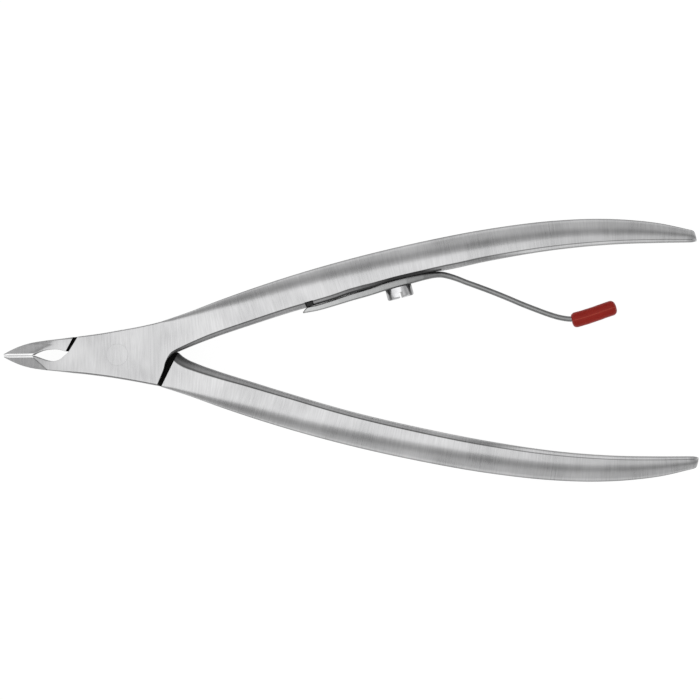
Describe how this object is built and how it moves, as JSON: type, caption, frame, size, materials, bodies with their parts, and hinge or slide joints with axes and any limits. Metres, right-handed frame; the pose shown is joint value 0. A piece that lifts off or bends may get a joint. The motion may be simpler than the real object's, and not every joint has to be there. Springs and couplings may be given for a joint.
{
  "type": "cuticle nipper",
  "caption": "Slim steel cuticle nipper with lapped, riveted levers, ground jaws, bowed handles and a screwed-on spring with a red-capped wire end.",
  "frame": {"origin": "centre of the overall box, on the plane the nipper lies on", "axes": "+X from the joint toward the handle ends, +Y toward the handle that carries the spring, +Z out of the cutting side"},
  "size_m": [0.12, 0.0456, 0.007],
  "materials": {
    "lever_steel": "satin, brushed across the faces",
    "rivet_steel": "ground flush with the joint and brushed with it",
    "spring_steel": "rolled spring steel, slightly darker",
    "screw_steel": "turned and polished",
    "cap_vinyl": "soft dipped vinyl, satin gloss"
  },
  "bodies": {
    "front_half": {"front_lever": "lever_steel", "joint_rivet": "rivet_steel", "spring_leaf": "spring_steel", "spring_screw": "screw_steel"},
    "back_half": {"back_lever": "lever_steel"},
    "spring_arm": {"spring_wire": "spring_steel", "spring_cap": "cap_vinyl"}
  },
  "joints": [
    {"name": "lever_pivot", "type": "hinge", "parent": "front_half", "child": "back_half", "pos_m": [-0.0402, 0, 0.0035], "axis": [0, 0, -1], "range_deg": [0, 20]},
    {"name": "spring_flex", "type": "hinge", "parent": "front_half", "child": "spring_arm", "pos_m": [0.0193, 0.01252, 0.0035], "axis": [0, 0, 1], "range_deg": [0, 17], "stiffness_Nm_per_rad": 0.465}
  ]
}
